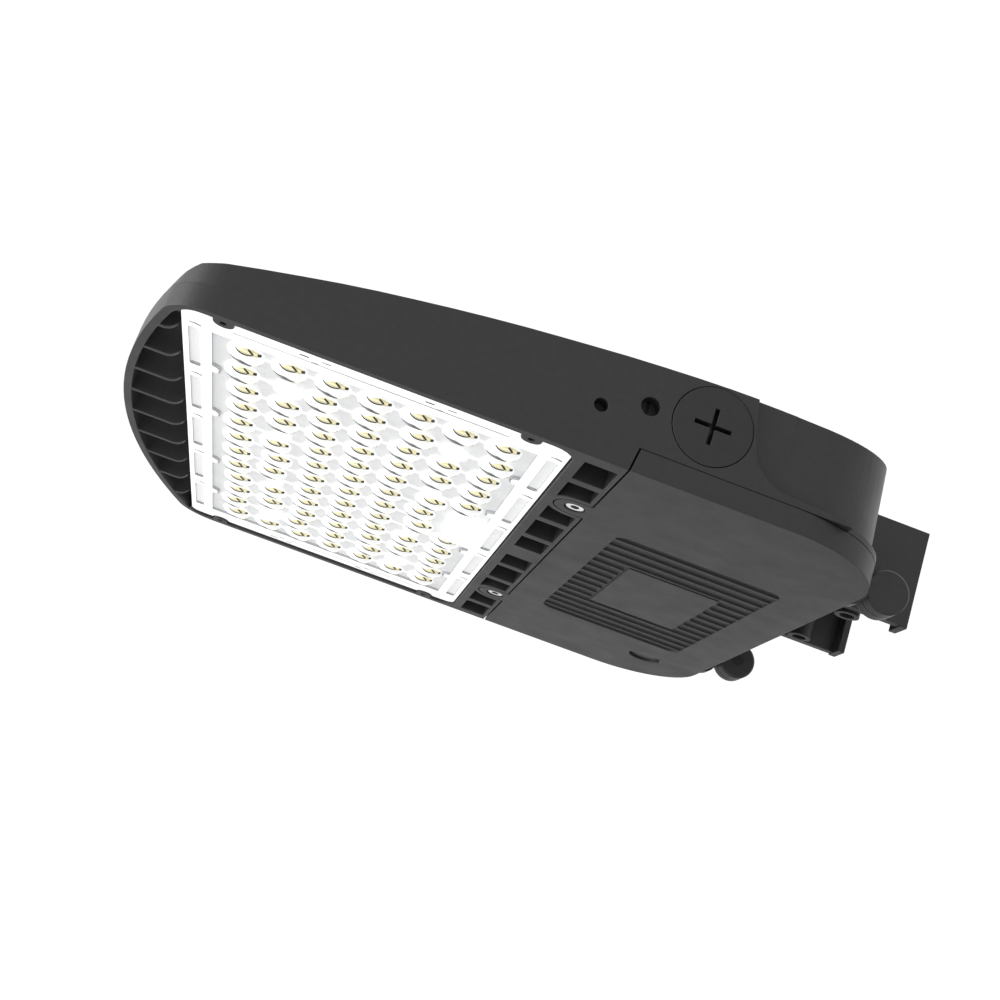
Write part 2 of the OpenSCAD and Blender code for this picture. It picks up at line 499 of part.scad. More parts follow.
// ---- driver door ----
door_top = seam_z - 0.3;
module door_plan(o) {
    x0 = door_x0 + o + (o > 0 ? 1.3 : 0);
    back_plan(o, lip_back, x0);
    translate([x0, -hw + o]) square([20, body_w - 2 * o]);
}
module hinge_cheek() {
    eye(lug_y2, lug_y3, 0, 0.8);
    translate([0, lug_y3, 0]) rotate([90, 0, 0]) linear_extrude(lug_y3 - lug_y2)
        polygon([[197.5, 0], [203.2, 0], [205.5, 0.9], [207.4, 2.5], [208.7, 4.5], [210, 6.6], [hinge_x, hinge_z], [209.4, door_top], [197.5, door_top]]);
}
// Ribs across the recess; between y = -36 and 34 the plain plate interrupts them
module door_ribs() for (i = [0:14]) let (y = -69.3 + louvre_p * i) {
    if (y < -37.6 || y > 34) translate([109.5, y, 0]) cube([73.4, 1.3, louvre_d + 0.01]);
    else {
        translate([109.5, y, 0]) cube([15, 1.3, louvre_d + 0.01]);
        translate([169, y, 0]) cube([13.9, 1.3, louvre_d + 0.01]);
    }
}
module driver_door() color([0.22, 0.22, 0.23]) place() difference() {
    union() {
        difference() {
            linear_extrude(door_top) door_plan(0);
            // slanted front, parallel to the end of the rim
            rotate([90, 0, 0]) translate([0, 0, -200]) linear_extrude(400)
                polygon([[door_x0 - 4, -1], [door_x0 - 0.16, -1], [door_x0 + slant, seam_z], [door_x0 - 4, seam_z]]);
            translate([0, 0, 3.4]) linear_extrude(20) door_plan(6.5);
            // ribbed recess in the underside
            difference() {
                translate([0, 0, -1]) linear_extrude(1 + louvre_d) rounded(109.5, 182.9, 75.7, 6, 0);
                door_ribs();
                translate([125.6, -36.2, -1]) cube([41.9, 70.2, 5]);
            }
            // seat of the round vent
            translate([174.5, 105.5, -1]) cylinder(h = 3.1, r = 8.5, $fn = 64);
        }
        // tabs for the screws
        both() translate([screw_x, screw_y, 0]) cylinder(h = 3.4, r = 8.4, $fn = 64);
        both() translate([screw_x, screw_y - 8.4, 0]) cube([9, 16.8, 3.4]);
        both() hinge_cheek();
        // stiffening ribs inside
        for (y = [-96, -48, 48, 96]) translate([99, y - 1, 3]) cube([96, 2, 3.4]);
        for (x = [126, 166]) translate([x - 1, -144, 3]) cube([2, 288, 3.4]);
    }
    both() translate([screw_x, screw_y, -1]) cylinder(h = 3.4, r = 4.6, $fn = 48);
    both() translate([screw_x, screw_y, -1]) cylinder(h = 8, r = 2.3, $fn = 32);
    both() translate([hinge_x, lug_y2 - 1, hinge_z]) rotate([-90, 0, 0]) cylinder(h = 5.1, r = 3.06, $fn = 40);
    // groove for the gasket
    translate([0, 0, 6.9]) linear_extrude(5) difference() { door_plan(1.9); door_plan(5); }
    translate([174.5, 105.5, -1]) cylinder(h = 12, r = 4.1, $fn = 32);
}
module door_gasket() color([0.07, 0.07, 0.07]) place() translate([0, 0, 6.9]) linear_extrude(seam_z - 6.9 - 0.08) difference() {
    door_plan(2);
    door_plan(4.9);
}
module door_screw() translate([screw_x, screw_y, 0]) {
    difference() {
        translate([0, 0, 0.5]) cylinder(h = 1.88, r = 3.7, $fn = 48);
        translate([0, 0, 0]) cylinder(h = 1.7, r = 1.75, $fn = 6);
    }
    translate([0, 0, 2.2]) cylinder(h = 12.8, r = 2, $fn = 32);
}
module retainer() translate([screw_x, screw_y, 3.45]) difference() {
    cylinder(h = 0.8, r = 3.6, $fn = 32);
    translate([0, 0, -1]) cylinder(h = 3, r = 2, $fn = 32);
}
module near_door_screw() color([0.85, 0.85, 0.85]) place() mirror([0, 1, 0]) door_screw();
module far_door_screw() color([0.85, 0.85, 0.85]) place() door_screw();
module near_screw_retainer() color([0.6, 0.6, 0.6]) place() mirror([0, 1, 0]) retainer();
module far_screw_retainer() color([0.6, 0.6, 0.6]) place() retainer();
module door_vent() color([0.35, 0.35, 0.36]) place() translate([174.5, 105.5, 0]) difference() {
    union() {
        translate([0, 0, 1.5]) cylinder(h = 0.6, r = 7.9, $fn = 64);
        translate([0, 0, 1.9]) cylinder(h = 4.6, r = 4, $fn = 32);
    }
    translate([0, 0, 2.6]) cylinder(h = 8, r = 2.6, $fn = 28);
}

housing();
lens_panel();
lens_gasket();
led_board();
led_chips();
lens_screws();
wire_cover();
led_connector();
led_lead_plus();
led_lead_minus();
lead_grommet();
driver();
driver_end_caps();
driver_screws();
driver_input_leads();
surge_protector();
surge_screws();
terminal_block();
terminal_screws();
ground_screw();
near_plug();
far_plug();
near_plug_seal();
far_plug_seal();
arm();
arm_gasket();
arm_bolts();
arm_washers();
near_hinge_pin();
far_hinge_pin();
driver_door();
door_gasket();
near_door_screw();
far_door_screw();
near_screw_retainer();
far_screw_retainer();
door_vent();
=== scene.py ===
import math

import bmesh
import bpy
from mathutils import Matrix, Vector
from mathutils import geometry as mgeo


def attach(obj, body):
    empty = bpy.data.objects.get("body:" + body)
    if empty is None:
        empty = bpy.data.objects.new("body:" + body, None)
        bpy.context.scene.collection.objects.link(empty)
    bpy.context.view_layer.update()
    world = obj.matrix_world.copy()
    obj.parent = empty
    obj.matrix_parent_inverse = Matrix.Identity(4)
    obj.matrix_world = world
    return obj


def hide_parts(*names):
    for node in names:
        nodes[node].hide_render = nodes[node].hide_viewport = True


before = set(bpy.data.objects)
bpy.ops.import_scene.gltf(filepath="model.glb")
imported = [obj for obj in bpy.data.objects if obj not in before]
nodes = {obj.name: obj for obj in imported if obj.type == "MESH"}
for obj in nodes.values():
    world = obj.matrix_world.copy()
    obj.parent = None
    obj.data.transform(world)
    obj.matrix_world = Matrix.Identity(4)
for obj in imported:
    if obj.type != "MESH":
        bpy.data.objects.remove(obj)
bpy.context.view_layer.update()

scene = bpy.context.scene

# The frame's origin in the working coordinates of the part: x = 0 is the middle of the LED grid,
# z = 0 the lower plane of the rim. Millimetres.
OX, OZ = 251.3, 50.0


def P(x, y, z):
    return Vector(((x - OX) / 1000.0, y / 1000.0, (z - OZ) / 1000.0))


# ---------------------------------------------------------------- materials
class Tree:
    """Small helper for building a node material."""

    def __init__(self, name):
        self.mat = bpy.data.materials.new(name)
        self.mat.use_nodes = True
        self.nt = self.mat.node_tree
        self.nt.nodes.clear()
        self.out = self.nt.nodes.new("ShaderNodeOutputMaterial")
        self.bsdf = self.nt.nodes.new("ShaderNodeBsdfPrincipled")
        self.nt.links.new(self.bsdf.outputs[0], self.out.inputs[0])
        self.coord = self.nt.nodes.new("ShaderNodeTexCoord")

    def link(self, a, b):
        self.nt.links.new(a, b)

    def node(self, kind, **props):
        n = self.nt.nodes.new(kind)
        for k, v in props.items():
            setattr(n, k, v)
        return n

    def noise(self, scale, detail=4.0, rough=0.55, vec=None, dist=0.0):
        n = self.node("ShaderNodeTexNoise")
        n.inputs["Scale"].default_value = scale
        n.inputs["Detail"].default_value = detail
        n.inputs["Roughness"].default_value = rough
        n.inputs["Distortion"].default_value = dist
        self.link(vec or self.coord.outputs["Object"], n.inputs["Vector"])
        return n.outputs["Fac"]

    def ramp(self, fac, stops):
        r = self.node("ShaderNodeValToRGB")
        els = r.color_ramp.elements
        els[0].position, els[0].color = stops[0][0], (*stops[0][1], 1)
        els[1].position, els[1].color = stops[-1][0], (*stops[-1][1], 1)
        for pos, col in stops[1:-1]:
            e = els.new(pos)
            e.color = (*col, 1)
        self.link(fac, r.inputs[0])
        return r.outputs[0]

    def math(self, op, a, b=None, clamp=False):
        m = self.node("ShaderNodeMath", operation=op, use_clamp=clamp)
        for i, v in enumerate((a, b)):
            if v is None:
                continue
            if isinstance(v, (int, float)):
                m.inputs[i].default_value = v
            else:
                self.link(v, m.inputs[i])
        return m.outputs[0]

    def remap(self, fac, a, b, c, d):
        m = self.node("ShaderNodeMapRange")
        self.link(fac, m.inputs[0])
        for i, v in enumerate((a, b, c, d)):
            m.inputs[i + 1].default_value = v
        return m.outputs[0]

    def mix(self, fac, a, b, mode="MIX"):
        m = self.node("ShaderNodeMix", data_type="RGBA", blend_type=mode)
        for sock, v in ((m.inputs[0], fac), (m.inputs[6], a), (m.inputs[7], b)):
            if isinstance(v, (int, float)):
                sock.default_value = v
            elif isinstance(v, tuple):
                sock.default_value = (*v, 1)
            else:
                self.link(v, sock)
        return m.outputs[2]

    def bump(self, height, strength, dist, normal=None):
        b = self.node("ShaderNodeBump")
        b.inputs["Strength"].default_value = strength
        b.inputs["Distance"].default_value = dist
        self.link(height, b.inputs["Height"])
        if normal is not None:
            self.link(normal, b.inputs["Normal"])
        return b.outputs[0]

    def edge(self, radius, low=0.02, high=0.18):
        """0 on flat faces, towards 1 at edges: the bevel normal against the true one."""
        bev = self.node("ShaderNodeBevel", samples=4)
        bev.inputs["Radius"].default_value = radius
        geo = self.node("ShaderNodeNewGeometry")
        dot = self.node("ShaderNodeVectorMath", operation="DOT_PRODUCT")
        self.link(bev.outputs[0], dot.inputs[0])
        self.link(geo.outputs["Normal"], dot.inputs[1])
        d = self.math("SUBTRACT", 1.0, dot.outputs["Value"])
        return self.remap(d, low, high, 0.0, 1.0), bev.outputs[0]


def powder(name, base, rough=0.46, soft=0.0009, grain=1.0, edge_highlight_gain=1.9, spec=0.5):
    """Fine-textured powder coat on a casting."""
    t = Tree(name)
    cloud = t.noise(9.0, 3.0, 0.6)
    fine = t.noise(420.0, 2.0, 0.5)
    c_lo = tuple(c * 0.98 for c in base)
    c_hi = tuple(c * 1.02 for c in base)
    col = t.ramp(cloud, [(0.3, c_lo), (0.7, c_hi)])
    speck = t.ramp(fine, [(0.35, (0.9, 0.9, 0.9)), (0.65, (1.1, 1.1, 1.1))])
    col = t.mix(0.6, col, t.mix(1.0, col, speck, "MULTIPLY"))
    # painted highlight: the colour is lightened towards the edges, where light would catch them
    edge_highlight_mask, bev = t.edge(soft * 0.7)
    col = t.mix(t.math("MULTIPLY", edge_highlight_mask, 0.8, clamp=True), col, tuple(min(1, c * edge_highlight_gain) for c in base))
    t.link(col, t.bsdf.inputs["Base Color"])
    t.link(t.remap(t.noise(60.0, 3.0), 0.3, 0.7, rough - 0.035, rough + 0.045), t.bsdf.inputs["Roughness"])
    t.bsdf.inputs["Specular IOR Level"].default_value = spec
    b1 = t.bump(t.noise(850.0, 2.0, 0.5), 0.16 * grain, 0.0003, bev)
    b2 = t.bump(t.noise(95.0, 2.0, 0.5), 0.05 * grain, 0.0006, b1)
    t.link(b2, t.bsdf.inputs["Normal"])
    return t.mat


def plastic(name, base, rough=0.4, vary=0.05, grain=0.06, scale=300.0, soft=0.0006, spec=0.5, sss=0.0):
    t = Tree(name)
    cloud = t.noise(24.0, 3.0)
    col = t.ramp(cloud, [(0.3, tuple(c * (1 - vary) for c in base)), (0.7, tuple(min(1.0, c * (1 + vary)) for c in base))])
    # painted highlight: the colour is lightened towards the edges
    edge_highlight_mask, bev = t.edge(soft)
    col = t.mix(t.math("MULTIPLY", edge_highlight_mask, 0.3, clamp=True), col, tuple(min(1, c * 1.25 + 0.01) for c in base))
    t.link(col, t.bsdf.inputs["Base Color"])
    t.link(t.remap(t.noise(90.0, 3.0), 0.3, 0.7, max(0.02, rough - 0.05), rough + 0.06), t.bsdf.inputs["Roughness"])
    t.bsdf.inputs["Specular IOR Level"].default_value = spec
    t.link(t.bump(t.noise(scale, 2.0), grain, 0.0003, bev), t.bsdf.inputs["Normal"])
    return t.mat


def metal(name, base, rough=0.3, brush=(1.0, 1.0, 1.0), scale=500.0, soft=0.0003, metallic=1.0, dark=0.75):
    t = Tree(name)
    mp = t.node("ShaderNodeMapping")
    mp.inputs["Scale"].default_value = brush
    t.link(t.coord.outputs["Object"], mp.inputs["Vector"])
    streak = t.noise(scale, 3.0, 0.6, mp.outputs[0])
    cloud = t.noise(70.0, 3.0)
    col = t.ramp(cloud, [(0.3, tuple(c * 0.88 for c in base)), (0.7, base)])
    # the flat faces are darkened, and the colour is lightened towards the edges as a painted highlight
    edge_highlight_mask, bev = t.edge(soft)
    col = t.mix(t.math("SUBTRACT", 1.0, t.math("MULTIPLY", edge_highlight_mask, 0.6, clamp=True), clamp=True),
                tuple(min(1, c * 1.12) for c in base), t.mix(0.35, col, tuple(c * dark for c in base)))
    t.link(col, t.bsdf.inputs["Base Color"])
    t.bsdf.inputs["Metallic"].default_value = metallic
    t.link(t.remap(streak, 0.25, 0.75, max(0.03, rough - 0.08), rough + 0.1), t.bsdf.inputs["Roughness"])
    t.link(t.bump(streak, 0.08, 0.0002, bev), t.bsdf.inputs["Normal"])
    return t.mat


def lens_glass(name):
    t = Tree(name)
    haze = t.noise(40.0, 3.0)
    col = t.ramp(haze, [(0.3, (0.95, 0.965, 0.975)), (0.7, (0.985, 0.99, 0.99))])
    t.link(col, t.bsdf.inputs["Base Color"])
    t.link(t.remap(t.noise(120.0, 2.0), 0.3, 0.7, 0.03, 0.09), t.bsdf.inputs["Roughness"])
    t.bsdf.inputs["IOR"].default_value = 1.49
    t.bsdf.inputs["Transmission Weight"].default_value = 1.0
    t.link(t.bump(t.noise(260.0, 2.0), 0.03, 0.0002), t.bsdf.inputs["Normal"])
    return t.mat


M = {
    "housing": powder("housing_coat", (0.034, 0.034, 0.0355)),
    "door": powder("door_coat", (0.0335, 0.0335, 0.0347)),
    "arm": powder("arm_coat", (0.033, 0.033, 0.0345)),
    "plug": powder("plug_coat", (0.026, 0.026, 0.027), rough=0.42),
    "steel": metal("screw_steel", (0.62, 0.62, 0.63), rough=0.28),
    "pin": metal("black_pin", (0.05, 0.05, 0.052), rough=0.42, metallic=0.6),
    "bright": metal("bright_screw", (0.95, 0.95, 0.95), rough=0.3, metallic=0.35, dark=0.92),
    "pale": metal("pale_screw", (0.86, 0.87, 0.88), rough=0.35, metallic=0.25, dark=0.9),
    "steel_dark": metal("dark_steel", (0.16, 0.16, 0.165), rough=0.4),
    "board": plastic("board_mask", (0.86, 0.87, 0.87), rough=0.35, vary=0.02, grain=0.02),
    "chip": plastic("led_phosphor", (0.9, 0.72, 0.18), rough=0.3, vary=0.06),
    "lens": lens_glass("lens_clear"),
    "white": plastic("white_moulding", (0.86, 0.87, 0.88), rough=0.4, vary=0.02),
    "seal_pale": plastic("pale_silicone", (0.62, 0.63, 0.64), rough=0.6),
    "rubber": plastic("black_rubber", (0.012, 0.012, 0.012), rough=0.72, vary=0.15, grain=0.15, scale=700.0),
    "black": plastic("black_moulding", (0.018, 0.018, 0.02), rough=0.5, vary=0.12),
    "red": plastic("red_wire", (0.45, 0.02, 0.015), rough=0.38),
    "green_wire": plastic("mains_wire", (0.03, 0.14, 0.06), rough=0.4),
    "alu": metal("driver_case", (0.72, 0.73, 0.74), rough=0.36, brush=(1.0, 0.04, 1.0), scale=900.0),
    "surge": plastic("surge_case", (0.03, 0.035, 0.05), rough=0.3),
    "cream": plastic("terminal_moulding", (0.7, 0.68, 0.6), rough=0.45),
    "green": metal("green_screw", (0.05, 0.32, 0.09), rough=0.35, metallic=0.7),
    "vent": plastic("vent_cap", (0.11, 0.11, 0.112), rough=0.5, grain=0.12, scale=600.0),
}
node_mat = {
    "housing": "housing", "lens_panel": "lens", "lens_gasket": "rubber", "led_board": "board", "led_chips": "chip",
    "lens_screws": "pale", "wire_cover": "white", "led_connector": "white", "led_lead_plus": "red", "led_lead_minus": "black",
    "lead_grommet": "rubber", "driver": "alu", "driver_end_caps": "black", "driver_screws": "steel",
    "driver_input_leads": "green_wire", "surge_protector": "surge", "surge_screws": "steel", "terminal_block": "cream",
    "terminal_screws": "steel", "ground_screw": "green", "near_plug": "plug", "far_plug": "plug", "near_plug_seal": "rubber",
    "far_plug_seal": "rubber", "arm": "arm", "arm_gasket": "rubber", "arm_bolts": "steel", "arm_washers": "steel",
    "near_hinge_pin": "pin", "far_hinge_pin": "pin", "driver_door": "door", "door_gasket": "rubber",
    "near_door_screw": "bright", "far_door_screw": "bright", "near_screw_retainer": "steel_dark",
    "far_screw_retainer": "steel_dark", "door_vent": "vent",
}
for n, o in nodes.items():
    o.data.materials.clear()
    o.data.materials.append(M[node_mat[n]])
    for p in o.data.polygons:
        p.material_index = 0

# A little wear-friendly rounding of the shading at the edges of the big castings
for n in ("housing", "arm", "driver_door"):
    o = nodes[n]
    w = o.modifiers.new("weld", "WELD")
    w.merge_threshold = 0.000005
    for p in o.data.polygons:
        p.use_smooth = True
    e = o.modifiers.new("split", "EDGE_SPLIT")
    e.split_angle = math.radians(24)

# ---------------------------------------------------------------- lens panel as it shows
LED_PX, LED_PY = 17.0, 21.56
PX0, PX1, PH = -76.45, 72.7, 144.6


def led_dx(i, j):
    if i == 0 and (j in (1, 10) or 4 <= j <= 7):
        return -1.2
    return {2: -2.8, 4: 2.8, 6: 1.4}.get(i, 0.0) if j in (1, 10) else 0.0


def led_skip(i, j):
    return (i in (1, 5) and (j in (1, 10) or 4 <= j <= 7)) or (i == 6 and j in (5, 6))


LEDS = [((i - 3) * LED_PX + led_dx(i, j), (j - 5.5) * LED_PY) for i in range(7) for j in range(12) if not led_skip(i, j)]
LEDS += [(s * 2 * LED_PX + (0 if j == 5.5 else 2.4 if s > 0 else -1.6), (j - 5.5) * LED_PY) for s in (-1, 1) for j in (4.5, 5.5, 6.5)]
POSTS = [((i - 3) * LED_PX, (j - 5.5) * LED_PY) for i in (1, 5) for j in (1, 10)]
MARKS = [((i - 3) * LED_PX, (j - 5.5) * LED_PY) for i in (1, 5) for j in (3.85, 7.15)]


class Shell:
    """Collects faces in millimetres of the working coordinates."""

    def __init__(self):
        self.v, self.f, self.m = [], [], []

    def face(self, pts, mat):
        k = len(self.v)
        self.v += [P(*p) for p in pts]
        self.f.append(tuple(range(k, k + len(pts))))
        self.m.append(mat)

    def flat(self, loops, z, mat):
        pts = [q for lp in loops for q in lp]
        for tri in mgeo.tessellate_polygon([[Vector((x, y, 0)) for x, y in lp] for lp in loops]):
            self.face([(pts[k][0], pts[k][1], z) for k in tri], mat)

    def wall(self, lp, z0, z1, mat):
        for k in range(len(lp)):
            a, b = lp[k], lp[(k + 1) % len(lp)]
            self.face([(a[0], a[1], z0), (b[0], b[1], z0), (b[0], b[1], z1), (a[0], a[1], z1)], mat)

    def make(self, name, mats, smooth=None):
        me = bpy.data.meshes.new(name)
        me.from_pydata([tuple(v) for v in self.v], [], self.f)
        for m in mats:
            me.materials.append(m)
        for p, m in zip(me.polygons, self.m):
            p.material_index = m
        bm = bmesh.new()
        bm.from_mesh(me)
        bmesh.ops.remove_doubles(bm, verts=bm.verts, dist=0.000002)
        bmesh.ops.recalc_face_normals(bm, faces=bm.faces)
        for f in bm.faces:
            f.smooth = True
        bm.to_mesh(me)
        bm.free()
        o = bpy.data.objects.new(name, me)
        scene.collection.objects.link(o)
        e = o.modifiers.new("split", "EDGE_SPLIT")
        e.split_angle = math.radians(smooth or 35)
        return o


def box_loop(x0, x1, y0, y1, r=0.0, n=4):
    if r <= 0:
        return [(x0, y0), (x1, y0), (x1, y1), (x0, y1)]
    out = []
    for cx, cy, a0 in ((x1 - r, y1 - r, 0), (x0 + r, y1 - r, 90), (x0 + r, y0 + r, 180), (x1 - r, y0 + r, 270)):
        for k in range(n + 1):
            a = math.radians(a0 + 90 * k / n)
            out.append((cx + r * math.cos(a), cy + r * math.sin(a)))
    return out


def panel_outline():
    """Rounded rectangle with two round notches in each long edge."""
    out = []
    for cx, cy, a0 in ((PX1 - 4.6, PH - 4.6, 0), (PX0 + 4.6, PH - 4.6, 90), (PX0 + 4.6, -PH + 4.6, 180), (PX1 - 4.6, -PH + 4.6, 270)):
        for k in range(7):
            a = math.radians(a0 + 15 * k)
            out.append((cx + 4.6 * math.cos(a), cy + 4.6 * math.sin(a)))
        if a0 == 0:
            for nx in (56.3, -60.3):
                for k in range(13):
                    a = math.radians(-3.8 - (172.4 * k / 12))
                    out.append((nx + 4.5 * math.cos(a), 145.2 + 4.5 * math.sin(a)))
        if a0 == 180:
            for nx in (-60.3, 56.3):
                for k in range(13):
                    a = math.radians(176.2 - (172.4 * k / 12))
                    out.append((nx + 4.5 * math.cos(a), -145.2 + 4.5 * math.sin(a)))
    return out


FACE, CELL, FIELD, BACKF = 0.92, 1.75, 2.2, 2.38
FX0, FX1, FY = -65.0, 62.0, 130.0
BOSS_Y = (91.0, 36.0)


def field_outline():
    """The recessed field, with half-round bosses standing in from both short sides."""
    out = [(FX0, -FY), (FX1, -FY)]
    for y in (-BOSS_Y[0], -BOSS_Y[1], BOSS_Y[1], BOSS_Y[0]):
        for k in range(9):
            a = math.radians(-90 - 180 * k / 8)
            out.append((FX1 + 3.8 * math.cos(a), y + 4.0 * math.sin(a)))
    out += [(FX1, FY), (FX0, FY)]
    for y in (BOSS_Y[0], BOSS_Y[1], -BOSS_Y[1], -BOSS_Y[0]):
        for k in range(9):
            a = math.radians(90 - 180 * k / 8)
            out.append((FX0 + 3.8 * math.cos(a), y + 4.0 * math.sin(a)))
    return out


# material slots of the panel look: white faces, and darker floor, wall and cell copies of the same white that paint
# shade
WHITE, FLOOR, WALLM, CELLM = 0, 1, 2, 3
panel = Shell()
outer = panel_outline()
field = field_outline()
window = box_loop(47, 64, -19.5, 19.5)
window_in = [(47, -19.5), (47, 19.5), (FX1, 19.5), (FX1, -19.5)]
cells = []
for cx0, cx1 in ((-74.1, -69.6), (66.1, 70.6)):
    for cy in (-108.2, -54.2, 0.0, 54.2, 108.2):
        cells.append(box_loop(cx0, cx1, cy - 20.2, cy + 20.2, 1.2, 3))
panel.flat([outer, field] + cells, FACE, WHITE)
for c in cells:
    panel.wall(c, FACE, CELL, WALLM)
    panel.flat([c], CELL, CELLM)
panel.wall(field, FACE, FIELD, WALLM)
hole = [(47, -19.4), (47, 19.4), (61.9, 19.4), (61.9, -19.4)]
panel.flat([field, hole], FIELD, FLOOR)
panel.wall(hole, FIELD, BACKF, WALLM)
panel.flat([outer, hole], BACKF, WHITE)
panel.wall(outer, FACE, BACKF, WHITE)

DOME = (7.4, 9.8, 3.25)


def dome_point(c, u, v, lift=0.0):
    """Point of the dome over the local plan point u, v."""
    k = max(0.0, 1 - (u / DOME[0]) ** 2 - (v / DOME[1]) ** 2)
    d = Vector((u / DOME[0], v / DOME[1], -math.sqrt(k)))
    n = Vector((d.x / DOME[0], d.y / DOME[1], d.z / DOME[2])).normalized()
    return (c[0] + u + n.x * lift, c[1] + v + n.y * lift, FIELD + d.z * DOME[2] + n.z * lift)


def dome(sh, c, ax, z, mat, seg=28, rings=7):
    loops = []
    for r in range(rings):
        t = math.radians(90 * r / rings)
        loops.append([(c[0] + ax[0] * math.cos(t) * math.cos(2 * math.pi * k / seg),
                       c[1] + ax[1] * math.cos(t) * math.sin(2 * math.pi * k / seg), z - ax[2] * math.sin(t)) for k in range(seg)])
    for a, b in zip(loops, loops[1:]):
        for k in range(seg):
            q = (k + 1) % seg
            sh.face([a[k], a[q], b[q], b[k]], mat)
    tip = (c[0], c[1], z - ax[2])
    for k in range(seg):
        sh.face([loops[-1][k], loops[-1][(k + 1) % seg], tip], mat)
    sh.face(loops[0], mat)


domes = Shell()
for x, y in LEDS:
    dome(domes, (x - 1.0, y), DOME, FIELD + 0.06, WHITE)
for x, y in POSTS:
    # raised pads round the fixing screws, joined to the next domes by low webs
    pad = [(x + 6.0 * math.cos(2 * math.pi * k / 28), y + 5.6 * math.sin(2 * math.pi * k / 28)) for k in range(28)]
    domes.flat([pad], 0.2, WHITE)
    domes.wall(pad, 0.2, 2.3, WHITE)
    domes.flat([pad], 2.3, WHITE)
    web = box_loop(x - 8.5, x + 8.5, y - 0.7, y + 0.7)
    domes.flat([web], 1.3, WHITE)
    domes.wall(web, 1.3, 2.3, WHITE)
    domes.flat([web], 2.3, WHITE)
for x, y in MARKS:
    pad = [(x + 4.2 * math.cos(2 * math.pi * k / 24), y + 4.0 * math.sin(2 * math.pi * k / 24)) for k in range(24)]
    domes.flat([pad], 1.0, WHITE)
    domes.wall(pad, 1.0, 2.3, WHITE)
    domes.flat([pad], 2.3, WHITE)
# low white webs between neighbouring domes of a row
for j in range(12):
    y = (j - 5.5) * LED_PY
    web = box_loop(-50, 50 if j not in (5, 6) else 36, y - 0.35, y + 0.35)
    domes.flat([web], 1.6, WHITE)
    domes.wall(web, 1.6, 2.3, WHITE)
    domes.flat([web], 2.3, WHITE)

# painted image of the LED as refracted through each dome: a yellow leaf low on both long flanks
marks = Shell()
YELLOW, DARK, GREY = 0, 1, 2


def strip(c, up, dn, s, mat, n=10, m=3, lift=0.05):
    """A patch on the dome between two curves given in plan, s = -1 mirrors it to the far flank."""
    def at(pts, t):
        t = t * (len(pts) - 1)
        k = min(int(t), len(pts) - 2)
        f = t - k
        return pts[k][0] * (1 - f) + pts[k + 1][0] * f, pts[k][1] * (1 - f) + pts[k + 1][1] * f
    grid = []
    for a in range(n + 1):
        p, q = at(up, a / n), at(dn, a / n)
        grid.append([dome_point(c, p[0] * (1 - b / m) + q[0] * b / m, s * (p[1] * (1 - b / m) + q[1] * b / m), lift) for b in range(m + 1)])
    for a in range(n):
        for b in range(m):
            marks.face([grid[a][b], grid[a + 1][b], grid[a + 1][b + 1], grid[a][b + 1]], mat)


def smooth_line(pts, n=3):
    """Rounds a polyline by cutting its corners."""
    for _ in range(n):
        out = [pts[0]]
        for a, b in zip(pts, pts[1:]):
            out += [(a[0] * 0.75 + b[0] * 0.25, a[1] * 0.75 + b[1] * 0.25), (a[0] * 0.25 + b[0] * 0.75, a[1] * 0.25 + b[1] * 0.75)]
        pts = out + [pts[-1]]
    return pts


LEAF_U = smooth_line([(-2.6, -6.9), (-0.7, -8.5), (1.2, -8.95), (3.4, -8.2), (5.6, -6.1)])
LEAF_L = smooth_line([(-2.6, -6.5), (-0.9, -5.9), (1.6, -5.6), (4.1, -4.8), (5.9, -4.6)])
LINE_U = smooth_line([(-3.7, -6.9), (-1.8, -5.85), (0.4, -5.6), (2.9, -6.0)])
LINE_L = smooth_line([(-3.7, -6.5), (-1.9, -5.0), (0.4, -4.7), (2.9, -5.3)])
TICK_U = smooth_line([(1.3, -8.7), (2.7, -7.6), (3.6, -6.0)])
TICK_L = smooth_line([(0.9, -8.2), (2.0, -7.1), (3.0, -5.8)])
TIP_U = smooth_line([(4.7, -6.5), (5.7, -5.9), (6.1, -5.2)])
TIP_L = smooth_line([(4.9, -5.2), (5.5, -4.7), (6.1, -4.3)])
ARC_U = smooth_line([(-6.1, 1.6), (-4.9, 1.9), (-3.4, 1.7), (-2.3, 1.3), (-1.5, 1.0), (-0.9, 0.9), (-0.3, 1.2), (0.6, 2.0), (1.8, 3.2), (3.2, 4.5)], 1)
ARC_L = smooth_line([(-6.1, 1.9), (-5.2, 3.6), (-4.0, 4.4), (-3.1, 4.8), (-2.1, 5.2), (-1.3, 5.5), (-0.4, 5.7), (0.8, 5.7), (2.0, 5.6), (3.2, 5.3)], 1)
for x, y in LEDS:
    c = (x - 1.0, y)
    for s in (1, -1):
        strip(c, LEAF_U, LEAF_L, s, YELLOW)
        strip(c, LINE_U, LINE_L, s, DARK, lift=0.08, m=2)
        strip(c, TICK_U, TICK_L, s, DARK, lift=0.11, n=4, m=1)
        strip(c, TIP_U, TIP_L, s, DARK, lift=0.11, n=4, m=2)
    # painted shade: a grey crescent on one flank of each dome
    strip(c, ARC_U, ARC_L, 1, GREY, lift=0.04, m=2)
# a fine grey line of painted soft shade, and small dark and grey marks, along both long edges
for s in (-1, 1):
    y = s * 137.2
    marks.face([(-57, y - 0.38, 0.87), (49, y - 0.38, 0.87), (49, y + 0.38, 0.87), (-57, y + 0.38, 0.87)], 3)
    for mx in (-26.0, 22.0):
        for dx, dy, w, h in ((-4.2, 141.2, 1.8, 0.5), (0, 137.6, 1.3, 0.45), (4.3, 141.3, 1.8, 0.4)):
            x0, x1, ya, yb = mx + dx - w, mx + dx + w, s * dy - h, s * dy + h
            marks.face([(x0, ya, 0.86), (x1, ya, 0.86), (x1, yb, 0.86), (x0, yb, 0.86)], DARK if dx < 0 else GREY)


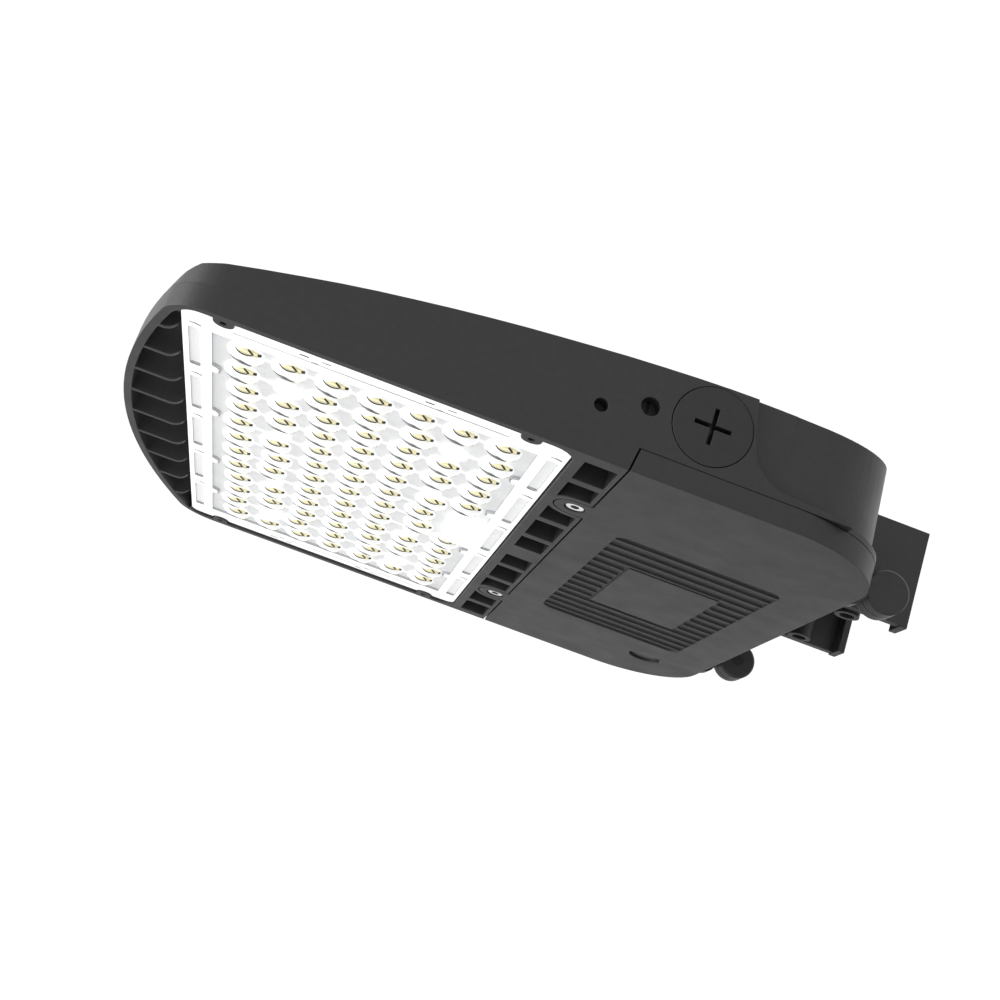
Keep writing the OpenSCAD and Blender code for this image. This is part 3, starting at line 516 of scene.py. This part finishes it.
# shaded ends of the border cells
for cx0, cx1 in ((-74.1, -69.6), (66.1, 70.6)):
    for cy in (-108.2, -54.2, 0.0, 54.2, 108.2):
        y0, y1 = cy - 20.2, cy + 20.2
        marks.face([(cx0 + 0.5, y1 - 1.3, 1.72), (cx1 - 0.3, y1 - 1.5, 1.72), (cx1 - 0.3, y1 - 0.5, 1.72), (cx0 + 0.5, y1 - 0.4, 1.72)], 3)
        marks.face([(cx0 + 0.4, y0 - 4.9, 0.87), (cx1 - 1.6, y0 - 5.3, 0.87), (cx1 - 1.6, y0 - 3.9, 0.87), (cx0 + 0.4, y0 - 3.9, 0.87)], 3)
        marks.face([(cx1 - 1.6, y0 - 5.3, 0.87), (cx1 + 0.5, y0 - 4.3, 0.87), (cx1 + 0.5, y0 - 3.0, 0.87), (cx1 - 1.6, y0 - 3.9, 0.87)], 3)
# painted shade: grey crescents on the half-round bosses of the field
for x0, x1 in ((FX0, 1), (FX1, -1)):
    for by in BOSS_Y:
        for s in (-1, 1):
            for k in range(6):
                a, b = math.radians(-90 + 22 * k), math.radians(-90 + 22 * (k + 1))
                q = [(x0 + x1 * r * 3.8 * math.cos(t), s * by + r * 4.0 * math.sin(t), 0.86) for r, t in ((0.98, a), (0.98, b), (0.76, b), (0.76, a))]
                marks.face(q, 3)


# painted light: these materials glow by emission, though no part they go on is a lamp
def glowing(name, base, rough, glow, vary=0.015):
    t = Tree(name)
    col = t.ramp(t.noise(30.0, 3.0), [(0.3, tuple(c * (1 - vary) for c in base)), (0.7, tuple(min(1.0, c * (1 + vary)) for c in base))])
    # painted highlight: the colour is lightened towards the edges
    edge_highlight_mask, bev = t.edge(0.0003)
    col = t.mix(t.math("MULTIPLY", edge_highlight_mask, 0.4, clamp=True), col, tuple(min(1.0, c * 1.08) for c in base))
    t.link(col, t.bsdf.inputs["Base Color"])
    t.link(col, t.bsdf.inputs["Emission Color"])
    t.bsdf.inputs["Emission Strength"].default_value = glow
    t.link(t.remap(t.noise(110.0, 2.0), 0.3, 0.7, rough - 0.05, rough + 0.08), t.bsdf.inputs["Roughness"])
    t.link(t.bump(t.noise(300.0, 2.0), 0.03, 0.0002, bev), t.bsdf.inputs["Normal"])
    return t.mat


# Painted light: most of these lens panel materials glow by emission, though the panel is no lamp. The floor, wall and
# cell materials are darker copies of the panel white, as painted shade, darkest on the walls.
lens_white = glowing("lens_white", (0.93, 0.935, 0.94), 0.25, 0.62)
dome_white = glowing("dome_white", (0.93, 0.935, 0.94), 0.2, 0.47)
lens_floor_painted_shade = glowing("lens_floor_painted_shade", (0.74, 0.745, 0.75), 0.3, 0.42, 0.05)
lens_wall_painted_shade = glowing("lens_wall_painted_shade", (0.45, 0.46, 0.47), 0.4, 0.15, 0.06)
lens_cell_painted_shade = glowing("lens_cell_painted_shade", (0.84, 0.845, 0.85), 0.3, 0.44, 0.03)
leaf_yellow = glowing("lens_leaf", (0.93, 0.87, 0.56), 0.3, 0.46, 0.05)
leaf_dark = glowing("lens_line", (0.06, 0.06, 0.06), 0.35, 0.0, 0.1)
painted_shade_grey = glowing("lens_shade", (0.36, 0.365, 0.37), 0.35, 0.1, 0.06)
painted_soft_shade = glowing("lens_soft_shade", (0.46, 0.465, 0.47), 0.35, 0.2, 0.06)
lens_mats = [lens_white, lens_floor_painted_shade, lens_wall_painted_shade, lens_cell_painted_shade]
look = panel.make("lens_panel_look", lens_mats)
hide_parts("lens_panel")
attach(look, "head")
dome_obj = domes.make("lens_domes_look", [dome_white, lens_floor_painted_shade, lens_wall_painted_shade, lens_cell_painted_shade], 50)
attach(dome_obj, "head")
mark_obj = marks.make("lens_images_look", [leaf_yellow, leaf_dark, painted_shade_grey, painted_soft_shade])
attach(mark_obj, "head")
thick = mark_obj.modifiers.new("thick", "SOLIDIFY")
thick.thickness = 0.00003
thick.offset = -1.0

# dark hexagons just proud of the captive screws' heads stand in for their hexagon sockets: painted shade in place of
# the recesses
socket = Shell()
for y in (-88.4, 88.4):
    hexa = [(87.1 + 2.0 * math.cos(math.radians(60 * k + 10)), y + 2.0 * math.sin(math.radians(60 * k + 10))) for k in range(6)]
    socket.flat([hexa], 0.42, 0)
    socket.wall(hexa, 0.42, 0.7, 0)
    socket.flat([hexa], 0.7, 0)
socket_obj = socket.make("screw_socket_look", [M["rubber"]])
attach(socket_obj, "door")
# painted glow: the door screws, the wire cover and the lens screws get self-lit white materials
screw_white = glowing("screw_white", (0.9, 0.9, 0.9), 0.22, 0.25)
for n in ("near_door_screw", "far_door_screw"):
    nodes[n].data.materials[0] = screw_white
for n in ("wire_cover", "lens_screws"):
    nodes[n].data.materials[0] = lens_white

# ---------------------------------------------------------------- camera, light and floor
cam_data = bpy.data.cameras.new("camera")
cam = bpy.data.objects.new("camera", cam_data)
scene.collection.objects.link(cam)
right = Vector((0.9336, -0.1822, 0.3086))
up = Vector((-0.3477, -0.2522, 0.9031))
back = Vector((-0.0867, -0.9504, -0.2987))
cam.matrix_world = Matrix((
    (right.x, up.x, back.x, -0.2444),
    (right.y, up.y, back.y, -0.6471),
    (right.z, up.z, back.z, -0.23317),
    (0, 0, 0, 1)))
cam_data.lens = 53.64
cam_data.sensor_width = 36.0
cam_data.clip_start = 0.01
cam_data.clip_end = 60.0
scene.camera = cam

world = bpy.data.worlds.new("studio")
scene.world = world
world.use_nodes = True
wt = world.node_tree
bg = wt.nodes["Background"]
wc = wt.nodes.new("ShaderNodeTexCoord")
sep = wt.nodes.new("ShaderNodeSeparateXYZ")
wt.links.new(wc.outputs["Generated"], sep.inputs[0])
mr = wt.nodes.new("ShaderNodeMapRange")
mr.interpolation_type = "SMOOTHSTEP"
for i, v in enumerate((0.05, 0.6, 0.66, 1.04)):
    mr.inputs[i + 1].default_value = v
wt.links.new(sep.outputs[1], mr.inputs[0])
wt.links.new(mr.outputs[0], bg.inputs["Strength"])
bg.inputs["Color"].default_value = (1, 1, 1, 1)

floor_mesh = bpy.data.meshes.new("floor")
fb = bmesh.new()
bmesh.ops.create_grid(fb, x_segments=8, y_segments=8, size=3.0)
fb.to_mesh(floor_mesh)
fb.free()
floor = bpy.data.objects.new("floor", floor_mesh)
floor.location = (-0.2, 0.3, -0.75)
scene.collection.objects.link(floor)
ft = Tree("floor_paint")
ft.link(ft.ramp(ft.noise(2.0, 3.0), [(0.3, (0.50, 0.50, 0.50)), (0.7, (0.53, 0.53, 0.53))]), ft.bsdf.inputs["Base Color"])
ft.bsdf.inputs["Roughness"].default_value = 0.8
floor_mesh.materials.append(ft.mat)


def area(name, loc, target, size, power, size_y=None):
    d = bpy.data.lights.new(name, "AREA")
    d.shape = "RECTANGLE"
    d.size = size
    d.size_y = size_y or size
    d.energy = power
    o = bpy.data.objects.new(name, d)
    o.location = loc
    o.rotation_mode = "QUATERNION"
    o.rotation_quaternion = (Vector(target) - Vector(loc)).to_track_quat("-Z", "Y")
    scene.collection.objects.link(o)
    return o


area("under_fill", (-0.75, -0.25, -0.72), (-0.25, 0, -0.03), 0.7, 1.3)
area("nose_key", (-1.6, -0.2, -0.15), (-0.3, 0, -0.03), 0.9, 16.0)

scene.view_settings.view_transform = "Standard"
scene.view_settings.look = "None"
